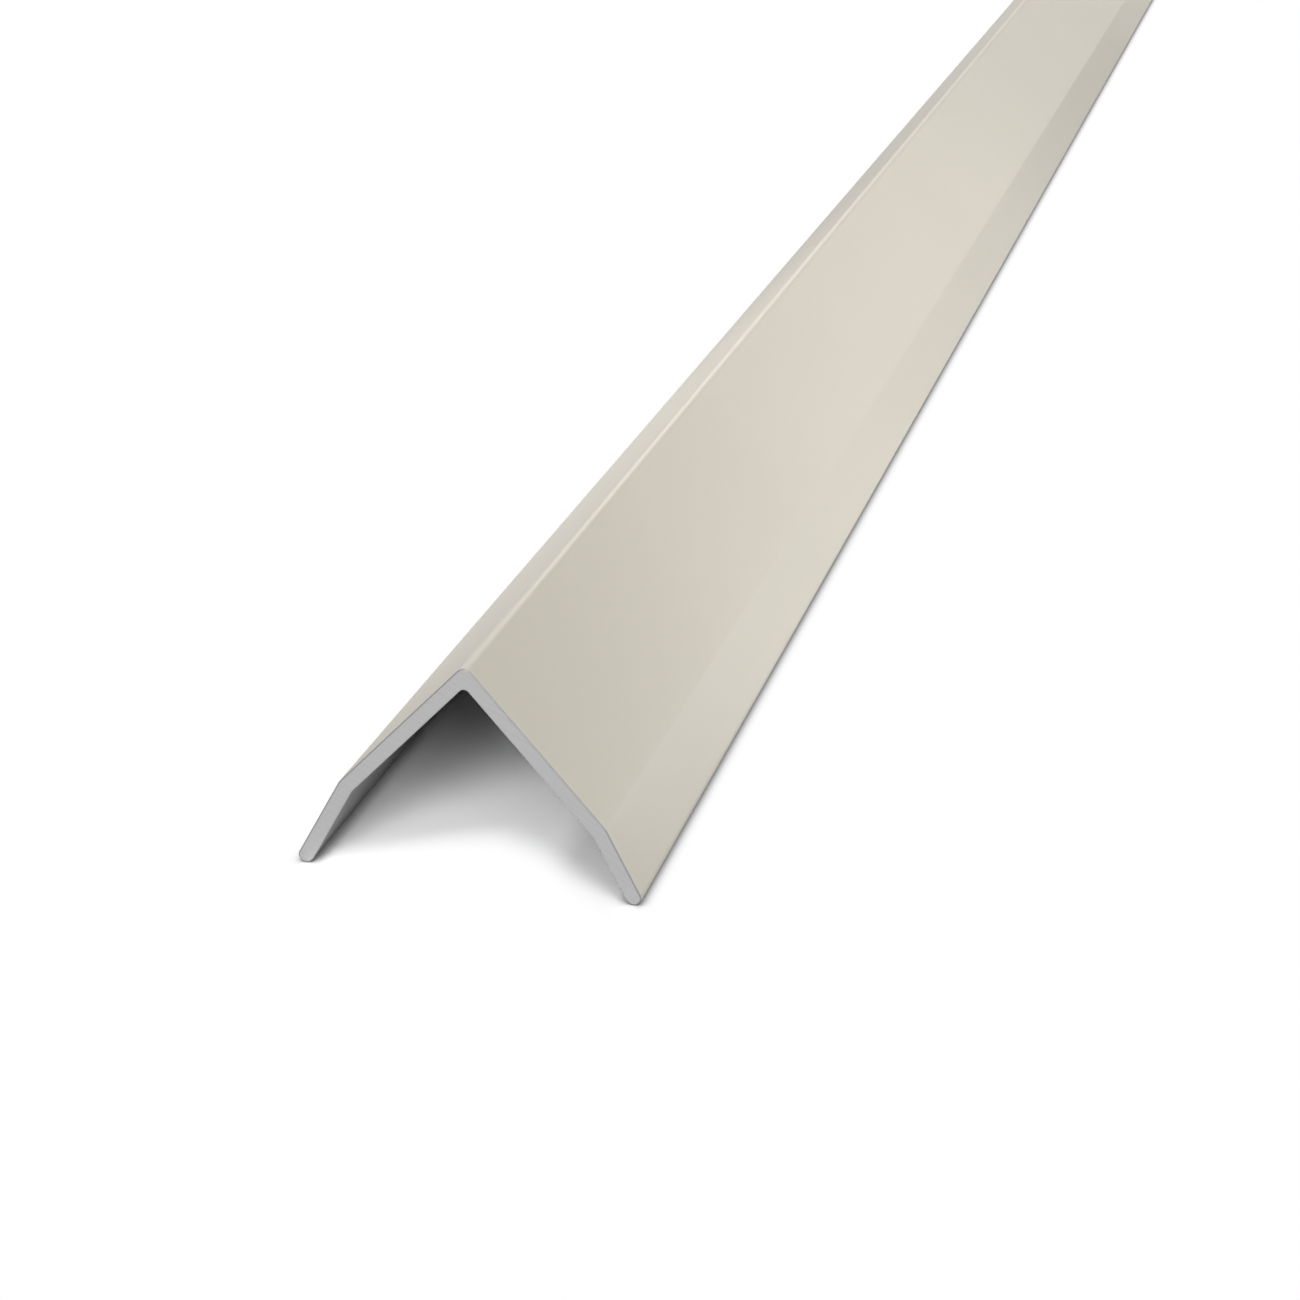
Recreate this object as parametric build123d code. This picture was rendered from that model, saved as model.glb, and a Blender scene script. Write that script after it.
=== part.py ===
from build123d import *
from math import atan2, degrees
import os

# Aluminium edge trim: one extruded V-shaped corner profile with both legs turned in towards their ends.
# It stands on its two leg tips with the ridge up, as it does on a floor.
# X runs along the stock, +Y is the side of the left leg, Z is up. The origin lies on the floor, below
# the middle of the stock's length and halfway between the two tips.

# Driving dimensions in millimetres, leg and flange measured on the outside between sharp corners
stock_length = 1000.0
wall = 1.6
left_leg = 19.6
left_flange = 10.4
right_leg = 21.3
right_flange = 8.3

# Angles in degrees: between the two legs, and between each leg and its flange
apex_angle = 85.2
flange_turn = 14.5

# Corner radii in millimetres, and the width of the deburred edge round each sawn end
apex_outer_radius = 0.9
apex_inner_radius = 0.6
bend_inner_radius = 0.4
edge_break = 0.15


def mitre(first_normal, second_normal):
    """Step from an outside corner to the inside corner, one wall away from both faces."""
    return (first_normal + second_normal) * (wall / (1 + first_normal.dot(second_normal)))


class Leg:
    """Outline points of one leg, with the outside of the apex at the sketch's origin.

    side is +1 for the left leg and -1 for the right one.
    """

    def __init__(self, side, leg, flange):
        down = Vector(0, -1)
        leg_way = down.rotate(Axis.Z, side * apex_angle / 2)
        flange_way = down.rotate(Axis.Z, side * (apex_angle / 2 - flange_turn))
        self.leg_normal = leg_way.rotate(Axis.Z, -side * 90)
        flange_normal = flange_way.rotate(Axis.Z, -side * 90)
        self.bend_outer = leg_way * leg
        self.bend_inner = self.bend_outer + mitre(self.leg_normal, flange_normal)
        # The tip is a half round: it starts half a wall before the end of the flange
        self.tip_outer = self.bend_outer + flange_way * (flange - wall / 2)
        self.tip_inner = self.tip_outer + flange_normal * wall
        self.tip_centre = (self.tip_outer + self.tip_inner) / 2
        self.tip_end = self.tip_centre + flange_way * (wall / 2)


left = Leg(+1, left_leg, left_flange)
right = Leg(-1, right_leg, right_flange)
apex_outer = Vector(0, 0)
apex_inner = mitre(left.leg_normal, right.leg_normal)

# Each flange bends round one centre, so its outside radius is a wall larger than its inside radius
bend_outer_radius = bend_inner_radius + wall

outside = FilletPolyline(
    left.tip_outer,
    left.bend_outer,
    apex_outer,
    right.bend_outer,
    right.tip_outer,
    radius=[bend_outer_radius, apex_outer_radius, bend_outer_radius],
)
inside = FilletPolyline(
    right.tip_inner,
    right.bend_inner,
    apex_inner,
    left.bend_inner,
    left.tip_inner,
    radius=[bend_inner_radius, apex_inner_radius, bend_inner_radius],
)
right_tip = ThreePointArc(right.tip_outer, right.tip_end, right.tip_inner)
left_tip = ThreePointArc(left.tip_inner, left.tip_end, left.tip_outer)
section = make_face(outside.edges() + right_tip.edges() + inside.edges() + left_tip.edges())

# Turn the section until both tips stand on one level, then set that level and their middle at zero
tip_span = left.tip_centre - right.tip_centre
level = Rot(0, 0, -degrees(atan2(tip_span.Y, tip_span.X)))
section = level * section
tips_middle = ((left.tip_centre + right.tip_centre) / 2).rotate(Axis.Z, level.orientation.Z)
section = Pos(-tips_middle.X, wall / 2 - tips_middle.Y) * section

trim = extrude(Plane.YZ * section, amount=stock_length / 2, both=True)

# Both ends are sawn square and their edges deburred
ends = trim.faces().sort_by(Axis.X)
trim = chamfer(ends[0].edges() + ends[-1].edges(), edge_break)
trim.label = "edge_trim"

os.makedirs("parts", exist_ok=True)
export_step(trim, "parts/edge_trim.step")
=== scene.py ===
import math

import bpy
import numpy as np
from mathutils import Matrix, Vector


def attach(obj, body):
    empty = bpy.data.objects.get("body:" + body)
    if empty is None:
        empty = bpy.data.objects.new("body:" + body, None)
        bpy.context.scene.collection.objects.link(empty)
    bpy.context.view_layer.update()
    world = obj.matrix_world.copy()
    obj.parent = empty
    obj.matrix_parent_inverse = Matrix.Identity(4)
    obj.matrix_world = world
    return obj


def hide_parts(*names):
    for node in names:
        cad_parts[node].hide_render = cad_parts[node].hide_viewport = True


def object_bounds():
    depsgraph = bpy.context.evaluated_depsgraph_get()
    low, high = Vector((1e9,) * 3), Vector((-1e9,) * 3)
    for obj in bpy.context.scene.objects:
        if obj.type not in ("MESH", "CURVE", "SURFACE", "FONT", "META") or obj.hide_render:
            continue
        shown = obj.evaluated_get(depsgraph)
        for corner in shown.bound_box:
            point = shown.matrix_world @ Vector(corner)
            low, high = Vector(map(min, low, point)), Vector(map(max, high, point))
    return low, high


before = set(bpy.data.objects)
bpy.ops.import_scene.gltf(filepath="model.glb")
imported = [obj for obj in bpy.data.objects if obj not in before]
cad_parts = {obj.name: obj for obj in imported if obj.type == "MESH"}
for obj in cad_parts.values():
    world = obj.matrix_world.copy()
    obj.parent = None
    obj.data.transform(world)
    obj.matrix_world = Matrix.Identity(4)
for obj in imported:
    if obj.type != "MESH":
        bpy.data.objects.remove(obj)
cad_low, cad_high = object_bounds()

# Edge trim
# One length of extruded aluminium corner profile: two legs at a little under a right angle, each turned in
# once more towards a half-round tip. The outside carries a satin beige-grey coat, the inside is bare, and
# both ends are sawn square and deburred. It stands on its two tips, with nothing else to hold it.

# Sizes of the section, with legs and flanges measured on the outside between sharp corners
MM = 0.001
wall = 1.6 * MM
left_leg = 19.6 * MM
left_flange = 10.4 * MM
right_leg = 21.3 * MM
right_flange = 8.3 * MM
apex_angle = math.radians(85.2)
flange_turn = math.radians(14.5)
apex_outer_radius = 0.9 * MM
apex_inner_radius = 0.6 * MM
bend_inner_radius = 0.4 * MM
bend_outer_radius = bend_inner_radius + wall
edge_break = 0.15 * MM

# Fineness of the mesh: its steps on straights, round arcs and along the stock, and its rings round a sawn end
straight_step = 0.8 * MM
arc_step = math.radians(4.0)
station_step = 25 * MM
edge_rings = 4

apex_turn = math.pi - apex_angle
quarter = math.pi / 2


def straight(length, outside_length):
    """Steps of one straight run: equal lengths with no turn. The outside length sets how many there are."""
    count = math.ceil(outside_length / straight_step)
    return np.full(count, length / count), np.zeros(count)


def arc(radius, turn):
    """Steps of one arc: equal chords 2 r sin(d/2), each turned by the same part d of the whole turn."""
    count = math.ceil(abs(turn) / arc_step)
    part = turn / count
    return np.full(count, 2 * radius * math.sin(abs(part) / 2)), np.full(count, part)


def walk(moves):
    """Points and headings of a path that starts at zero and heads along +x.

    A chord of an arc points halfway between the headings at its two ends, so each point is the running sum
    of chord length times (cos, sin) of the heading before it plus half of its turn.
    """
    lengths, turns = np.concatenate(moves, axis=1)
    headings = np.concatenate([[0.0], np.cumsum(turns)])
    chord_headings = headings[:-1] + turns / 2
    steps = lengths[:, None] * np.stack([np.cos(chord_headings), np.sin(chord_headings)], axis=1)
    return np.concatenate([np.zeros((1, 2)), np.cumsum(steps, axis=0)]), headings


def skin(inset, bend_radius, apex_radius, tip_turn):
    """One skin of the wall, from the end of the left tip over the ridge to the end of the right tip.

    Each straight run is its outside length between sharp corners, less what the inset takes off at a
    corner, inset * tan(turn / 2), and less the tangent of the corner's own arc, radius * tan(turn / 2).
    """
    at_apex = (inset + apex_radius) * math.tan(apex_turn / 2)
    at_bend = (inset + bend_radius) * math.tan(flange_turn / 2)
    tip = arc(wall / 2, tip_turn)
    bend = arc(bend_radius, -flange_turn)
    return walk([
        tip,
        straight(left_flange - wall / 2 - at_bend, left_flange),
        bend,
        straight(left_leg - at_bend - at_apex, left_leg),
        arc(apex_radius, -apex_turn),
        straight(right_leg - at_apex - at_bend, right_leg),
        bend,
        straight(right_flange - wall / 2 - at_bend, right_flange),
        tip,
    ])


def turned(points, angle):
    """Points turned about zero by an angle, anticlockwise."""
    cosine, sine = math.cos(angle), math.sin(angle)
    return points @ np.array([[cosine, sine], [-sine, cosine]])


def closed_section():
    """Outline of the section seen from the near end, its outward normals, and how many points are outside.

    Both skins start at the left tip's end, where the inner one heads the other way, and both stop at the
    right tip's end. The outline follows the outer skin and comes back along the inner one. It is then
    turned until the centres of the two tips are level, and set down so that both tips stand at height zero.
    """
    outer, outer_headings = skin(0.0, bend_outer_radius, apex_outer_radius, -quarter)
    inner, inner_headings = skin(wall, bend_inner_radius, apex_inner_radius, quarter)
    inner = turned(inner, math.pi)
    points = np.concatenate([outer, inner[-2:0:-1]])
    # The outside lies to the left of the outer skin's heading and, half a turn on, of the inner skin's too
    headings = np.concatenate([outer_headings, inner_headings[-2:0:-1]])
    normals = np.stack([-np.sin(headings), np.cos(headings)], axis=1)
    left_centre = points[0] - normals[0] * wall / 2
    right_centre = outer[-1] - normals[len(outer) - 1] * wall / 2
    span = right_centre - left_centre
    level = -math.atan2(span[1], span[0])
    middle = turned((left_centre + right_centre) / 2, level)
    points = turned(points, level) - middle + np.array([0.0, wall / 2])
    return points, turned(normals, level), len(outer)


outline, outline_normals, outside_count = closed_section()
outline_count = len(outline)

# Stations along the stock: each has its place, and an inset by which the deburred edge draws the outline in
near_end = cad_low.x
far_end = cad_high.x
edge_angles = np.linspace(0.0, quarter, edge_rings + 1)
edge_places = edge_break * (1 - np.cos(edge_angles))
edge_insets = edge_break * (1 - np.sin(edge_angles))
body_count = math.ceil((far_end - near_end) / station_step)
body_places = np.linspace(near_end + edge_break, far_end - edge_break, body_count + 1)
places = np.concatenate([near_end + edge_places, body_places[1:-1], far_end - edge_places[::-1]])
insets = np.concatenate([edge_insets, np.zeros(body_count - 1), edge_insets[::-1]])
station_count = len(places)

# Vertices: the outline carried along the stations. Right in the section is -Y, and up is Z
rings = outline[None, :, :] - insets[:, None, None] * outline_normals[None, :, :]
vertices = np.empty((station_count, outline_count, 3))
vertices[:, :, 0] = places[:, None]
vertices[:, :, 1] = -rings[:, :, 0]
vertices[:, :, 2] = rings[:, :, 1]

# Side faces: a grid of quads, closed round the outline
station, around = np.meshgrid(np.arange(station_count - 1), np.arange(outline_count), indexing="ij")
following = (around + 1) % outline_count
sides = np.stack([
    station * outline_count + around,
    station * outline_count + following,
    (station + 1) * outline_count + following,
    (station + 1) * outline_count + around,
], axis=-1).reshape(-1, 4)

# Sawn faces: strips of quads from the outer skin to the inner one, with a triangle at each tip
across = np.arange(outside_count - 1)
strip = np.stack([
    across,
    (outline_count - across) % outline_count,
    outline_count - across - 1,
    across + 1,
], axis=-1)
near_quads = strip[1:-1]
near_triangles = np.array([strip[0][[0, 2, 3]], strip[-1][[0, 1, 3]]])
last_ring = (station_count - 1) * outline_count
far_quads = near_quads[:, ::-1] + last_ring
far_triangles = near_triangles[:, ::-1] + last_ring
sawn_faces = [near_quads, near_triangles, far_quads, far_triangles]

# Unrolled map: metres along the stock against metres round the outline, and plain Y, Z on the sawn faces
closing = np.concatenate([outline, outline[:1]])
girth = np.concatenate([[0.0], np.cumsum(np.linalg.norm(np.diff(closing, axis=0), axis=1))])
side_map = np.stack([
    np.stack([places[station], places[station], places[station + 1], places[station + 1]], axis=-1),
    np.stack([girth[around], girth[around + 1], girth[around + 1], girth[around]], axis=-1),
], axis=-1).reshape(-1, 2)
sawn_corners = np.concatenate([faces.ravel() for faces in sawn_faces])
sawn_map = vertices.reshape(-1, 3)[sawn_corners][:, 1:]

# Finishes: coat on the outer skin, bare metal on the inner one and sawn metal on the ends. The deburred
# edge is sawn metal inside and a darker rim outside, which goes on round the inner half of each tip as
# painted shade where the tip meets the floor
COAT, BARE, SAWN, RIM = range(4)
outside = around < outside_count - 1
deburred = (station < edge_rings) | (station >= station_count - 1 - edge_rings)
tip_steps = math.ceil(quarter / arc_step)
rimmed = (around < outside_count - 1 + tip_steps) | (around >= outline_count - tip_steps)
side_finish = np.where(deburred, np.where(rimmed, RIM, SAWN), np.where(outside, COAT, BARE))
sawn_count = sum(len(faces) for faces in sawn_faces)
finishes = np.concatenate([side_finish.ravel(), np.full(sawn_count, SAWN)])
smooth = np.arange(len(finishes)) < len(sides)


def add_object(name, data):
    """An object at the origin with this data, linked into the scene."""
    placed = bpy.data.objects.new(name, data)
    bpy.context.scene.collection.objects.link(placed)
    return placed


trim_mesh = bpy.data.meshes.new("trim_profile")
all_faces = [face for faces in [sides, *sawn_faces] for face in faces.tolist()]
trim_mesh.from_pydata(vertices.reshape(-1, 3).tolist(), [], all_faces)
trim_mesh.uv_layers.new(name="unrolled")
trim_mesh.uv_layers["unrolled"].data.foreach_set("uv", np.concatenate([side_map, sawn_map]).ravel())
trim_mesh.polygons.foreach_set("material_index", finishes.astype(np.int32))
trim_mesh.polygons.foreach_set("use_smooth", smooth)
trim_mesh.update()
trim = add_object("trim_profile", trim_mesh)


def add_node(tree, kind, inputs, **settings):
    """A node with its settings, and its inputs set to a value or linked from another node's socket."""
    node = tree.nodes.new(kind)
    for name, value in settings.items():
        setattr(node, name, value)
    for name, value in inputs.items():
        if isinstance(value, bpy.types.NodeSocket):
            tree.links.new(value, node.inputs[name])
        else:
            node.inputs[name].default_value = value
    return node


def calculate(tree, operation, *values):
    """The result of one Math node on up to three values."""
    node = add_node(tree, "ShaderNodeMath", dict(enumerate(values)), operation=operation)
    return node.outputs[0]


def mix_tones(tree, factor, first, second):
    """A colour between two others: the first at a factor of 0, the second at 1."""
    node = add_node(tree, "ShaderNodeMix", {"Factor": factor, "A": first, "B": second}, data_type="RGBA")
    return node.outputs["Result"]


def new_group(name, inputs, outputs):
    """An empty shader node group with number or vector sockets, and its two end nodes."""
    group = bpy.data.node_groups.new(name, "ShaderNodeTree")
    for socket, kind in inputs.items():
        group.interface.new_socket(socket, in_out="INPUT", socket_type=kind)
    for socket, kind in outputs.items():
        group.interface.new_socket(socket, in_out="OUTPUT", socket_type=kind)
    return group, group.nodes.new("NodeGroupInput"), group.nodes.new("NodeGroupOutput")


NUMBER = "NodeSocketFloat"
VECTOR = "NodeSocketVector"

# Die lines: the fine streaks that the press leaves along the stock. A noise over the unrolled map, squeezed
# across the lines and drawn out along them, between 0 and 1.
die_lines, lines_in, lines_out = new_group(
    "die_lines", {"Unrolled": VECTOR, "Lines per metre": NUMBER}, {"Lines": NUMBER})
streaks_per_metre = 6.0
stretch = add_node(die_lines, "ShaderNodeCombineXYZ", {
    "X": streaks_per_metre, "Y": lines_in.outputs["Lines per metre"]})
squeezed = add_node(die_lines, "ShaderNodeVectorMath", {
    0: lines_in.outputs["Unrolled"], 1: stretch.outputs[0]}, operation="MULTIPLY")
line_noise = add_node(die_lines, "ShaderNodeTexNoise", {
    "Vector": squeezed.outputs[0], "Scale": 1.0, "Detail": 3.0, "Roughness": 0.6}, noise_dimensions="2D")
die_lines.links.new(line_noise.outputs["Fac"], lines_out.inputs["Lines"])

# Grain: the fine roughness of a surface, the same in every direction, between 0 and 1.
grain, grain_in, grain_out = new_group("grain", {"Grains per metre": NUMBER}, {"Grain": NUMBER})
grain_place = add_node(grain, "ShaderNodeTexCoord", {})
grain_noise = add_node(grain, "ShaderNodeTexNoise", {
    "Vector": grain_place.outputs["Object"], "Scale": grain_in.outputs["Grains per metre"], "Detail": 2.0})
grain.links.new(grain_noise.outputs["Fac"], grain_out.inputs["Grain"])

relief_depth = 0.05 * MM


def new_finish(name):
    """A new material with its node tree and its Principled shader."""
    finish = bpy.data.materials.new(name)
    finish.use_nodes = True
    return finish, finish.node_tree, finish.node_tree.nodes["Principled BSDF"]


def dress(tree, shader, tone, tones, dullness, roughness, height, relief):
    """Gives a shader its colour, roughness and relief.

    The colour goes from the first to the second of two tones as the value tone goes from 0 to 1, the
    roughness through its range as dullness does, and the relief, of a given strength, follows height.
    """
    lowest, highest = roughness
    rough = add_node(tree, "ShaderNodeMapRange", {"Value": dullness, "To Min": lowest, "To Max": highest})
    bump = add_node(tree, "ShaderNodeBump", {"Height": height, "Strength": relief, "Distance": relief_depth})
    tree.links.new(mix_tones(tree, tone, *tones), shader.inputs["Base Color"])
    tree.links.new(rough.outputs["Result"], shader.inputs["Roughness"])
    tree.links.new(bump.outputs["Normal"], shader.inputs["Normal"])


def drawn_lines(tree, lines_per_metre):
    """The die lines placed in a material, at its own number of lines per metre."""
    unrolled = add_node(tree, "ShaderNodeUVMap", {}, uv_map="unrolled")
    lines = add_node(tree, "ShaderNodeGroup", {
        "Unrolled": unrolled.outputs["UV"], "Lines per metre": lines_per_metre}, node_tree=die_lines)
    return lines.outputs["Lines"]


def fine_grain(tree, grains_per_metre):
    """The grain placed in a material, at its own number of grains per metre."""
    node = add_node(tree, "ShaderNodeGroup", {"Grains per metre": grains_per_metre}, node_tree=grain)
    return node.outputs["Grain"]


def satin_coat():
    """The stoved satin coat: a fine powder grain, hardly visible clouds of tone, and lines just showing."""
    finish, tree, shader = new_finish("satin_coat")
    coat_tones = (0.545, 0.512, 0.442, 1.0), (0.575, 0.540, 0.468, 1.0)
    coat_sheen = (1.0, 0.955, 0.84, 1.0)
    clouds_per_metre = 30.0
    lines_share = 0.3
    place = add_node(tree, "ShaderNodeTexCoord", {})
    clouds = add_node(tree, "ShaderNodeTexNoise", {
        "Vector": place.outputs["Object"], "Scale": clouds_per_metre, "Detail": 2.0})
    powder = fine_grain(tree, 5200.0)
    height = calculate(tree, "MULTIPLY_ADD", drawn_lines(tree, 2600.0), lines_share, powder)
    dress(tree, shader, tone=clouds.outputs["Fac"], tones=coat_tones,
          dullness=powder, roughness=(0.44, 0.52), height=height, relief=0.06)
    shader.inputs["Specular Tint"].default_value = coat_sheen
    return finish


def bare_metal():
    """Mill-finish aluminium on the inside, drawn along the stock by the die, darkened as painted shade for
    the inside.
    """
    finish, tree, shader = new_finish("bare_aluminium")
    bare_tones_darkened_as_shade = (0.17, 0.17, 0.176, 1.0), (0.24, 0.24, 0.246, 1.0)
    lines = drawn_lines(tree, 4200.0)
    dress(tree, shader, tone=lines, tones=bare_tones_darkened_as_shade,
          dullness=lines, roughness=(0.48, 0.62), height=lines, relief=0.15)
    shader.inputs["Metallic"].default_value = 1.0
    return finish


def sawn_metal(name, tones):
    """Sawn aluminium between two tones: a fine grain, and shallow arcs left by the blade.

    An arc is a noise over the distance from the blade's centre in the plane of the cut, with X left out.
    """
    finish, tree, shader = new_finish(name)
    blade_centre = (0.0, 60 * MM, -110 * MM)
    marks_per_metre = 3500.0
    place = add_node(tree, "ShaderNodeTexCoord", {})
    flat = add_node(tree, "ShaderNodeVectorMath", {
        0: place.outputs["Object"], 1: (0.0, 1.0, 1.0)}, operation="MULTIPLY")
    reach = add_node(tree, "ShaderNodeVectorMath", {
        0: flat.outputs[0], 1: blade_centre}, operation="DISTANCE")
    spread = calculate(tree, "MULTIPLY", reach.outputs["Value"], marks_per_metre)
    marks = add_node(tree, "ShaderNodeTexNoise", {
        "W": spread, "Scale": 1.0, "Detail": 2.0}, noise_dimensions="1D")
    dress(tree, shader, tone=marks.outputs["Fac"], tones=tones, dullness=fine_grain(tree, 7000.0),
          roughness=(0.42, 0.58), height=marks.outputs["Fac"], relief=0.12)
    shader.inputs["Metallic"].default_value = 1.0
    return finish


sawn_tones = (0.42, 0.42, 0.425, 1.0), (0.48, 0.48, 0.485, 1.0)
# Darker tones for the rim: a dark line along the outer edge, and painted shade round the tips
rim_and_painted_tip_shade_tones = (0.26, 0.26, 0.265, 1.0), (0.32, 0.32, 0.325, 1.0)
trim_finishes = {
    COAT: satin_coat(),
    BARE: bare_metal(),
    SAWN: sawn_metal("sawn_aluminium", sawn_tones),
    RIM: sawn_metal("dark_rim_and_painted_tip_shade", rim_and_painted_tip_shade_tones),
}
for place_in_mesh in sorted(trim_finishes):
    trim_mesh.materials.append(trim_finishes[place_in_mesh])
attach(trim, "root")
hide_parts("edge_trim")

# Floor
# A plain white matt sheet that the trim stands on. Straight and mirrored looks see it as pure white before
# the ends and beside the trim. Inside they see the trim's shadow, made lighter, with painted light in from
# each end, painted shade beside the right foot, and painted contact shade at each foot.


def grey(level):
    """A plain grey of this level, and white at 1."""
    return (level, level, level, 1.0)


# Tones: as it gives light, as it is seen inside the trim, with painted shade beside the right foot, and
# painted contact shade where it touches
floor_half = 6.0
floor_tone = grey(0.75)
inside_tone = grey(1.75)
painted_foot_shade_tone = grey(1.33)
inside_painted_contact_shade = grey(0.7)
outside_painted_contact_shade = grey(0.15)
white = grey(1.0)

# Reaches: of the fade to white at the ends, which inside the trim is painted light reaching in furthest below
# the ridge, and below the sides, and of the painted shade beside the right foot, which is on -Y
mouth_fade = 8 * MM
painted_light_reach_under_ridge = 15 * MM
ridge_rounding = 9 * MM
side_fade = 1 * MM
painted_shade_start = -5.5 * MM
painted_shade_full = -9.5 * MM

# Painted contact shade: how near the trim has to be, and how open a place is where the shade is full and
# where it ends
contact_reach = 1.5 * MM
contact_samples = 6
contact_full = 0.35
contact_end = 0.85


def seen_directly(tree):
    """1 for what the camera sees, straight, in a mirror or through glass, and 0 for what only gives light."""
    path = add_node(tree, "ShaderNodeLightPath", {})
    mirrored = calculate(tree, "MAXIMUM", path.outputs["Is Glossy Ray"], path.outputs["Is Transmission Ray"])
    return calculate(tree, "MAXIMUM", path.outputs["Is Camera Ray"], mirrored)


def beyond(tree, coordinate, half_size):
    """How far a coordinate lies beyond a half size, on either side of zero. Within it, this is negative."""
    return calculate(tree, "SUBTRACT", calculate(tree, "ABSOLUTE", coordinate), half_size)


def smooth_step(tree, value, start, end):
    """A smooth rise from 0 where the value is at start to 1 where it is at end."""
    node = add_node(tree, "ShaderNodeMapRange", {
        "Value": value, "From Min": start, "From Max": end}, interpolation_type="SMOOTHSTEP")
    return node.outputs["Result"]


floor_mesh = bpy.data.meshes.new("floor")
floor_corners = floor_half * np.array([[-1, -1, 0], [1, -1, 0], [1, 1, 0], [-1, 1, 0]])
floor_mesh.from_pydata(floor_corners.tolist(), [], [(0, 1, 2, 3)])
floor = add_object("floor", floor_mesh)
floor_finish = bpy.data.materials.new("white_floor")
floor_finish.use_nodes = True
floor_tree = floor_finish.node_tree
floor_tree.nodes.clear()
floor_place = add_node(floor_tree, "ShaderNodeTexCoord", {})
floor_axes = add_node(floor_tree, "ShaderNodeSeparateXYZ", {0: floor_place.outputs["Object"]})

# Where it is white: below the ridge the white reaches furthest in from each end, in a round curve; in under
# the trim this white is a painted pool of light
past_ends = beyond(floor_tree, floor_axes.outputs["X"], far_end)
past_sides = beyond(floor_tree, floor_axes.outputs["Y"], cad_high.y)
rounded_sides = calculate(floor_tree, "SMOOTH_MAX", past_sides, -painted_light_reach_under_ridge, ridge_rounding)
past_mouth = calculate(floor_tree, "SUBTRACT", past_ends, rounded_sides)
mouth_white_and_painted_light = smooth_step(floor_tree, past_mouth, 0.0, mouth_fade)
beside_trim = smooth_step(floor_tree, past_sides, -side_fade, 0.0)
whiteness = calculate(floor_tree, "MAXIMUM", mouth_white_and_painted_light, beside_trim)

# What it shows: a painted contact shade all round, and inside also a painted shade beside the right foot, set
# by Y alone
# The contact shade is painted: an AO node darkens the floor's colour where the trim is near
openness = add_node(
    floor_tree, "ShaderNodeAmbientOcclusion", {"Distance": contact_reach}, samples=contact_samples)
contact = add_node(floor_tree, "ShaderNodeMapRange", {
    "Value": openness.outputs["AO"], "From Min": contact_full, "From Max": contact_end})
clear_of_trim = contact.outputs["Result"]
# Painted shade beside the right foot: the inside tone darkens towards -Y by position, not by any lamp
clear_of_painted_foot_shade = smooth_step(floor_tree, floor_axes.outputs["Y"], painted_shade_full, painted_shade_start)
inside_with_painted_foot_shade = mix_tones(floor_tree, clear_of_painted_foot_shade, painted_foot_shade_tone, inside_tone)
inside_shown = mix_tones(floor_tree, clear_of_trim, inside_painted_contact_shade, inside_with_painted_foot_shade)
outside_shown = mix_tones(floor_tree, clear_of_trim, outside_painted_contact_shade, white)
lit_floor = add_node(floor_tree, "ShaderNodeBsdfDiffuse", {"Color": floor_tone})
inside_floor = add_node(floor_tree, "ShaderNodeBsdfDiffuse", {"Color": inside_shown})
white_floor = add_node(floor_tree, "ShaderNodeEmission", {"Color": outside_shown, "Strength": 1.0})
shown_floor = add_node(floor_tree, "ShaderNodeMixShader", {
    0: whiteness, 1: inside_floor.outputs[0], 2: white_floor.outputs[0]})
any_floor = add_node(floor_tree, "ShaderNodeMixShader", {
    0: seen_directly(floor_tree), 1: lit_floor.outputs[0], 2: shown_floor.outputs[0]})
add_node(floor_tree, "ShaderNodeOutputMaterial", {"Surface": any_floor.outputs[0]})
floor_mesh.materials.append(floor_finish)

# Light
# A white room gives an even fill, and softboxes in front, beside and behind draw the long gradients on the
# faces and the bright line along the ridge. The large ones behind are a little warmer than the others.
room_fill = 0.25
world = bpy.data.worlds.new("white_room")
world.use_nodes = True
bpy.context.scene.world = world
room_tree = world.node_tree
room_light = room_tree.nodes["Background"]
room_light.inputs["Color"].default_value = white
room_level = add_node(room_tree, "ShaderNodeMapRange", {
    "Value": seen_directly(room_tree), "To Min": room_fill, "To Max": 1.0})
room_tree.links.new(room_level.outputs["Result"], room_light.inputs["Strength"])

plain_white = (1.0, 1.0, 1.0)
warm_white = (1.0, 0.96, 0.86)
aim_height = 12 * MM


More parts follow.
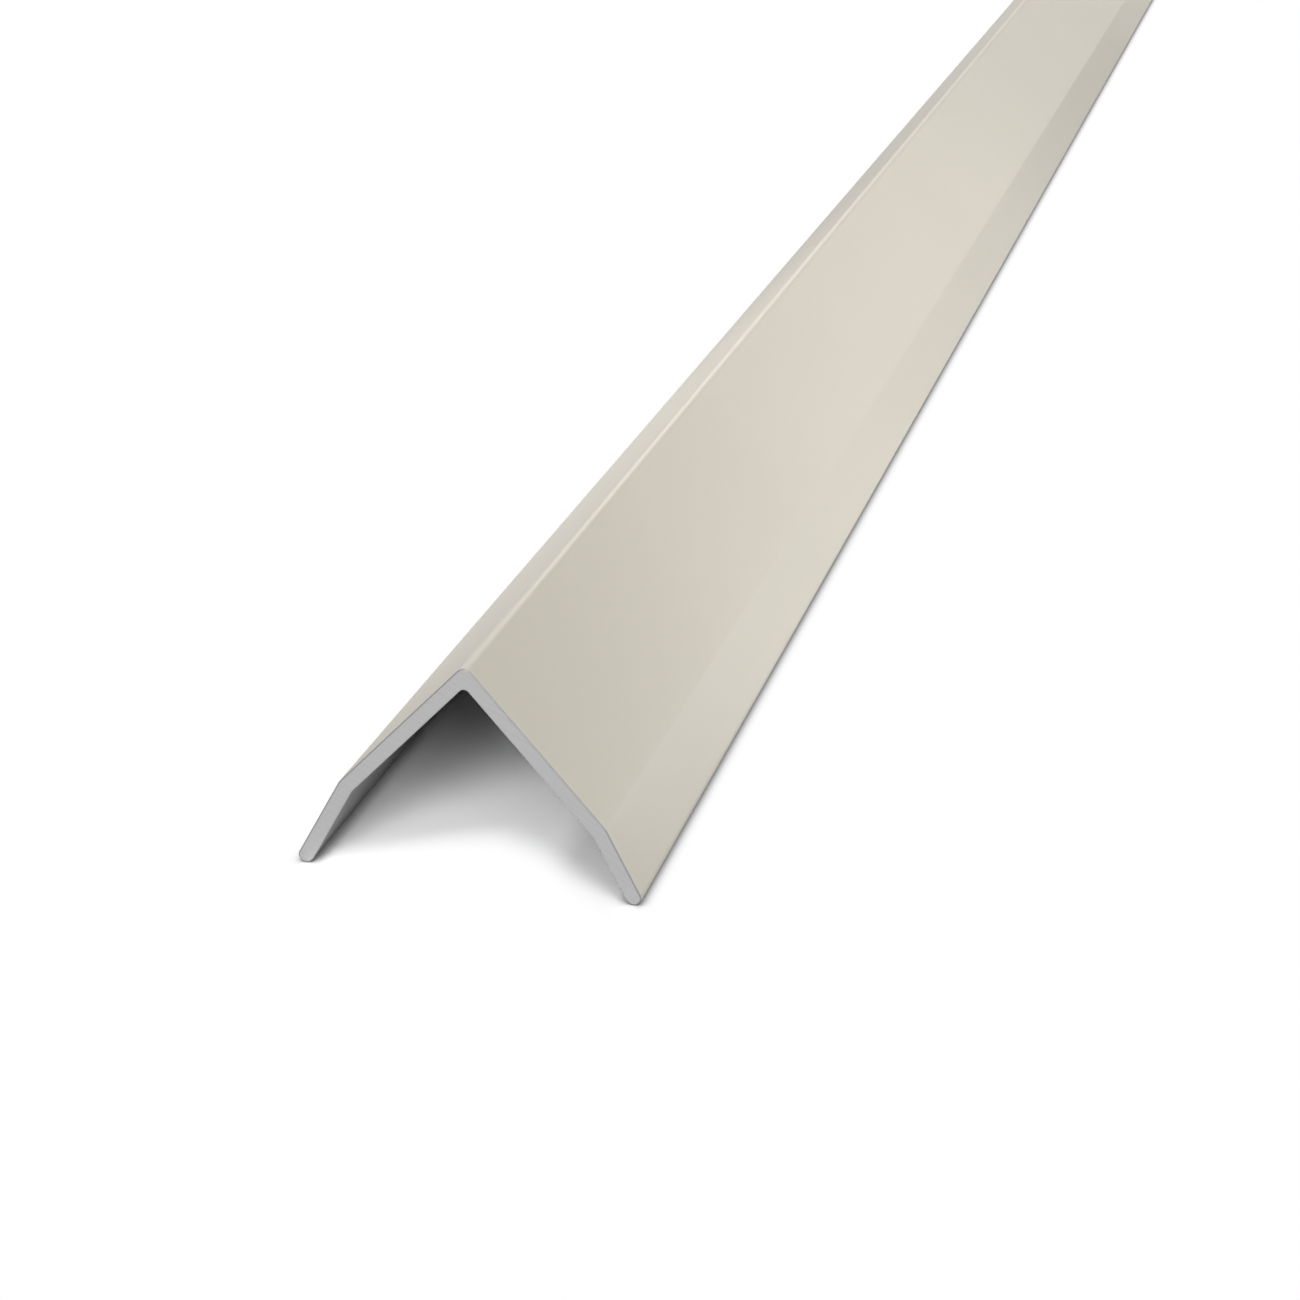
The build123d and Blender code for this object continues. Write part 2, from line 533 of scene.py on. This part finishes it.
def softbox(name, turn, rise, distance, along, width, height, power, colour=plain_white, glints=True):
    """A rectangular lamp that looks at the middle of the section, a length along the stock from its near end.

    Seen from there it stands in direction (-cos turn cos rise, -sin turn cos rise, sin rise): a turn of 0 is
    in front of the near end, 90 on the right, 180 behind. Angles are in degrees, sizes in millimetres.
    """
    turn, rise = math.radians(turn), math.radians(rise)
    direction = Vector((-math.cos(turn) * math.cos(rise), -math.sin(turn) * math.cos(rise), math.sin(rise)))
    data = bpy.data.lights.new(name, "AREA")
    data.shape = "RECTANGLE"
    data.size = width * MM
    data.size_y = height * MM
    data.energy = power
    data.color = colour
    lamp = add_object(name, data)
    lamp.location = Vector((near_end + along * MM, 0.0, aim_height)) + direction * distance * MM
    lamp.rotation_euler = (-direction).to_track_quat("-Z", "Y").to_euler()
    lamp.visible_camera = False
    lamp.visible_glossy = glints


front_panel = {"distance": 900, "along": 20, "width": 400, "height": 240}
softbox("front", turn=0, rise=30, power=3.53, **front_panel)
softbox("front_right", turn=35, rise=25, power=1.2, **front_panel)
softbox("front_high", turn=30, rise=65, power=1.8, **front_panel)

rear_panel = {"distance": 1200, "along": 200, "width": 360, "height": 240, "colour": warm_white}
softbox("behind_right", turn=160, rise=8, power=0.38, **rear_panel)
softbox("behind_low", turn=168, rise=8, power=0.25, **rear_panel)
softbox("behind_high", turn=190, rise=30, power=2.35, **rear_panel)
softbox("behind_near", turn=188, rise=30, distance=500, along=30, width=150, height=100, power=0.21)

softbox("low_right", turn=90, rise=2, distance=60, along=60, width=40, height=6, power=0.0028)
softbox("low_right_middle", turn=90, rise=3, distance=90, along=120, width=50, height=10, power=0.0118)
softbox("low_right_far", turn=90, rise=6, distance=160, along=220, width=140, height=30, power=0.084)
softbox("near_left", turn=270, rise=45, distance=110, along=110, width=60, height=60, power=0.041)

# These two only even out the far half, with no glint of their own in the near one
far_strip = {"rise": 40, "distance": 200, "along": 800, "width": 400, "height": 60, "glints": False}
softbox("far_left", turn=270, power=0.21, **far_strip)
softbox("far_right", turn=90, power=0.15, **far_strip)
bpy.context.scene.view_settings.view_transform = "Standard"

# Camera
# It stands before the near end, to the right and above, and looks down on it a little to the left of the
# stock's own direction, so that the stock runs away to the upper right.
picture_width = 1300.0
focal_pixels = 2593.0
sensor_width = 36.0
camera_before = 215.2 * MM
camera_right = 77.3 * MM
camera_height = 123.45 * MM
camera_pitch = math.radians(23.29)
camera_heading = math.radians(15.19)
camera_data = bpy.data.cameras.new("camera")
camera_data.sensor_width = sensor_width
camera_data.lens = sensor_width * focal_pixels / picture_width
camera_data.clip_start = 10 * MM
camera = add_object("camera", camera_data)
camera.location = (near_end - camera_before, -camera_right, camera_height)
camera.rotation_euler = (quarter - camera_pitch, 0.0, camera_heading - quarter)
bpy.context.scene.camera = camera
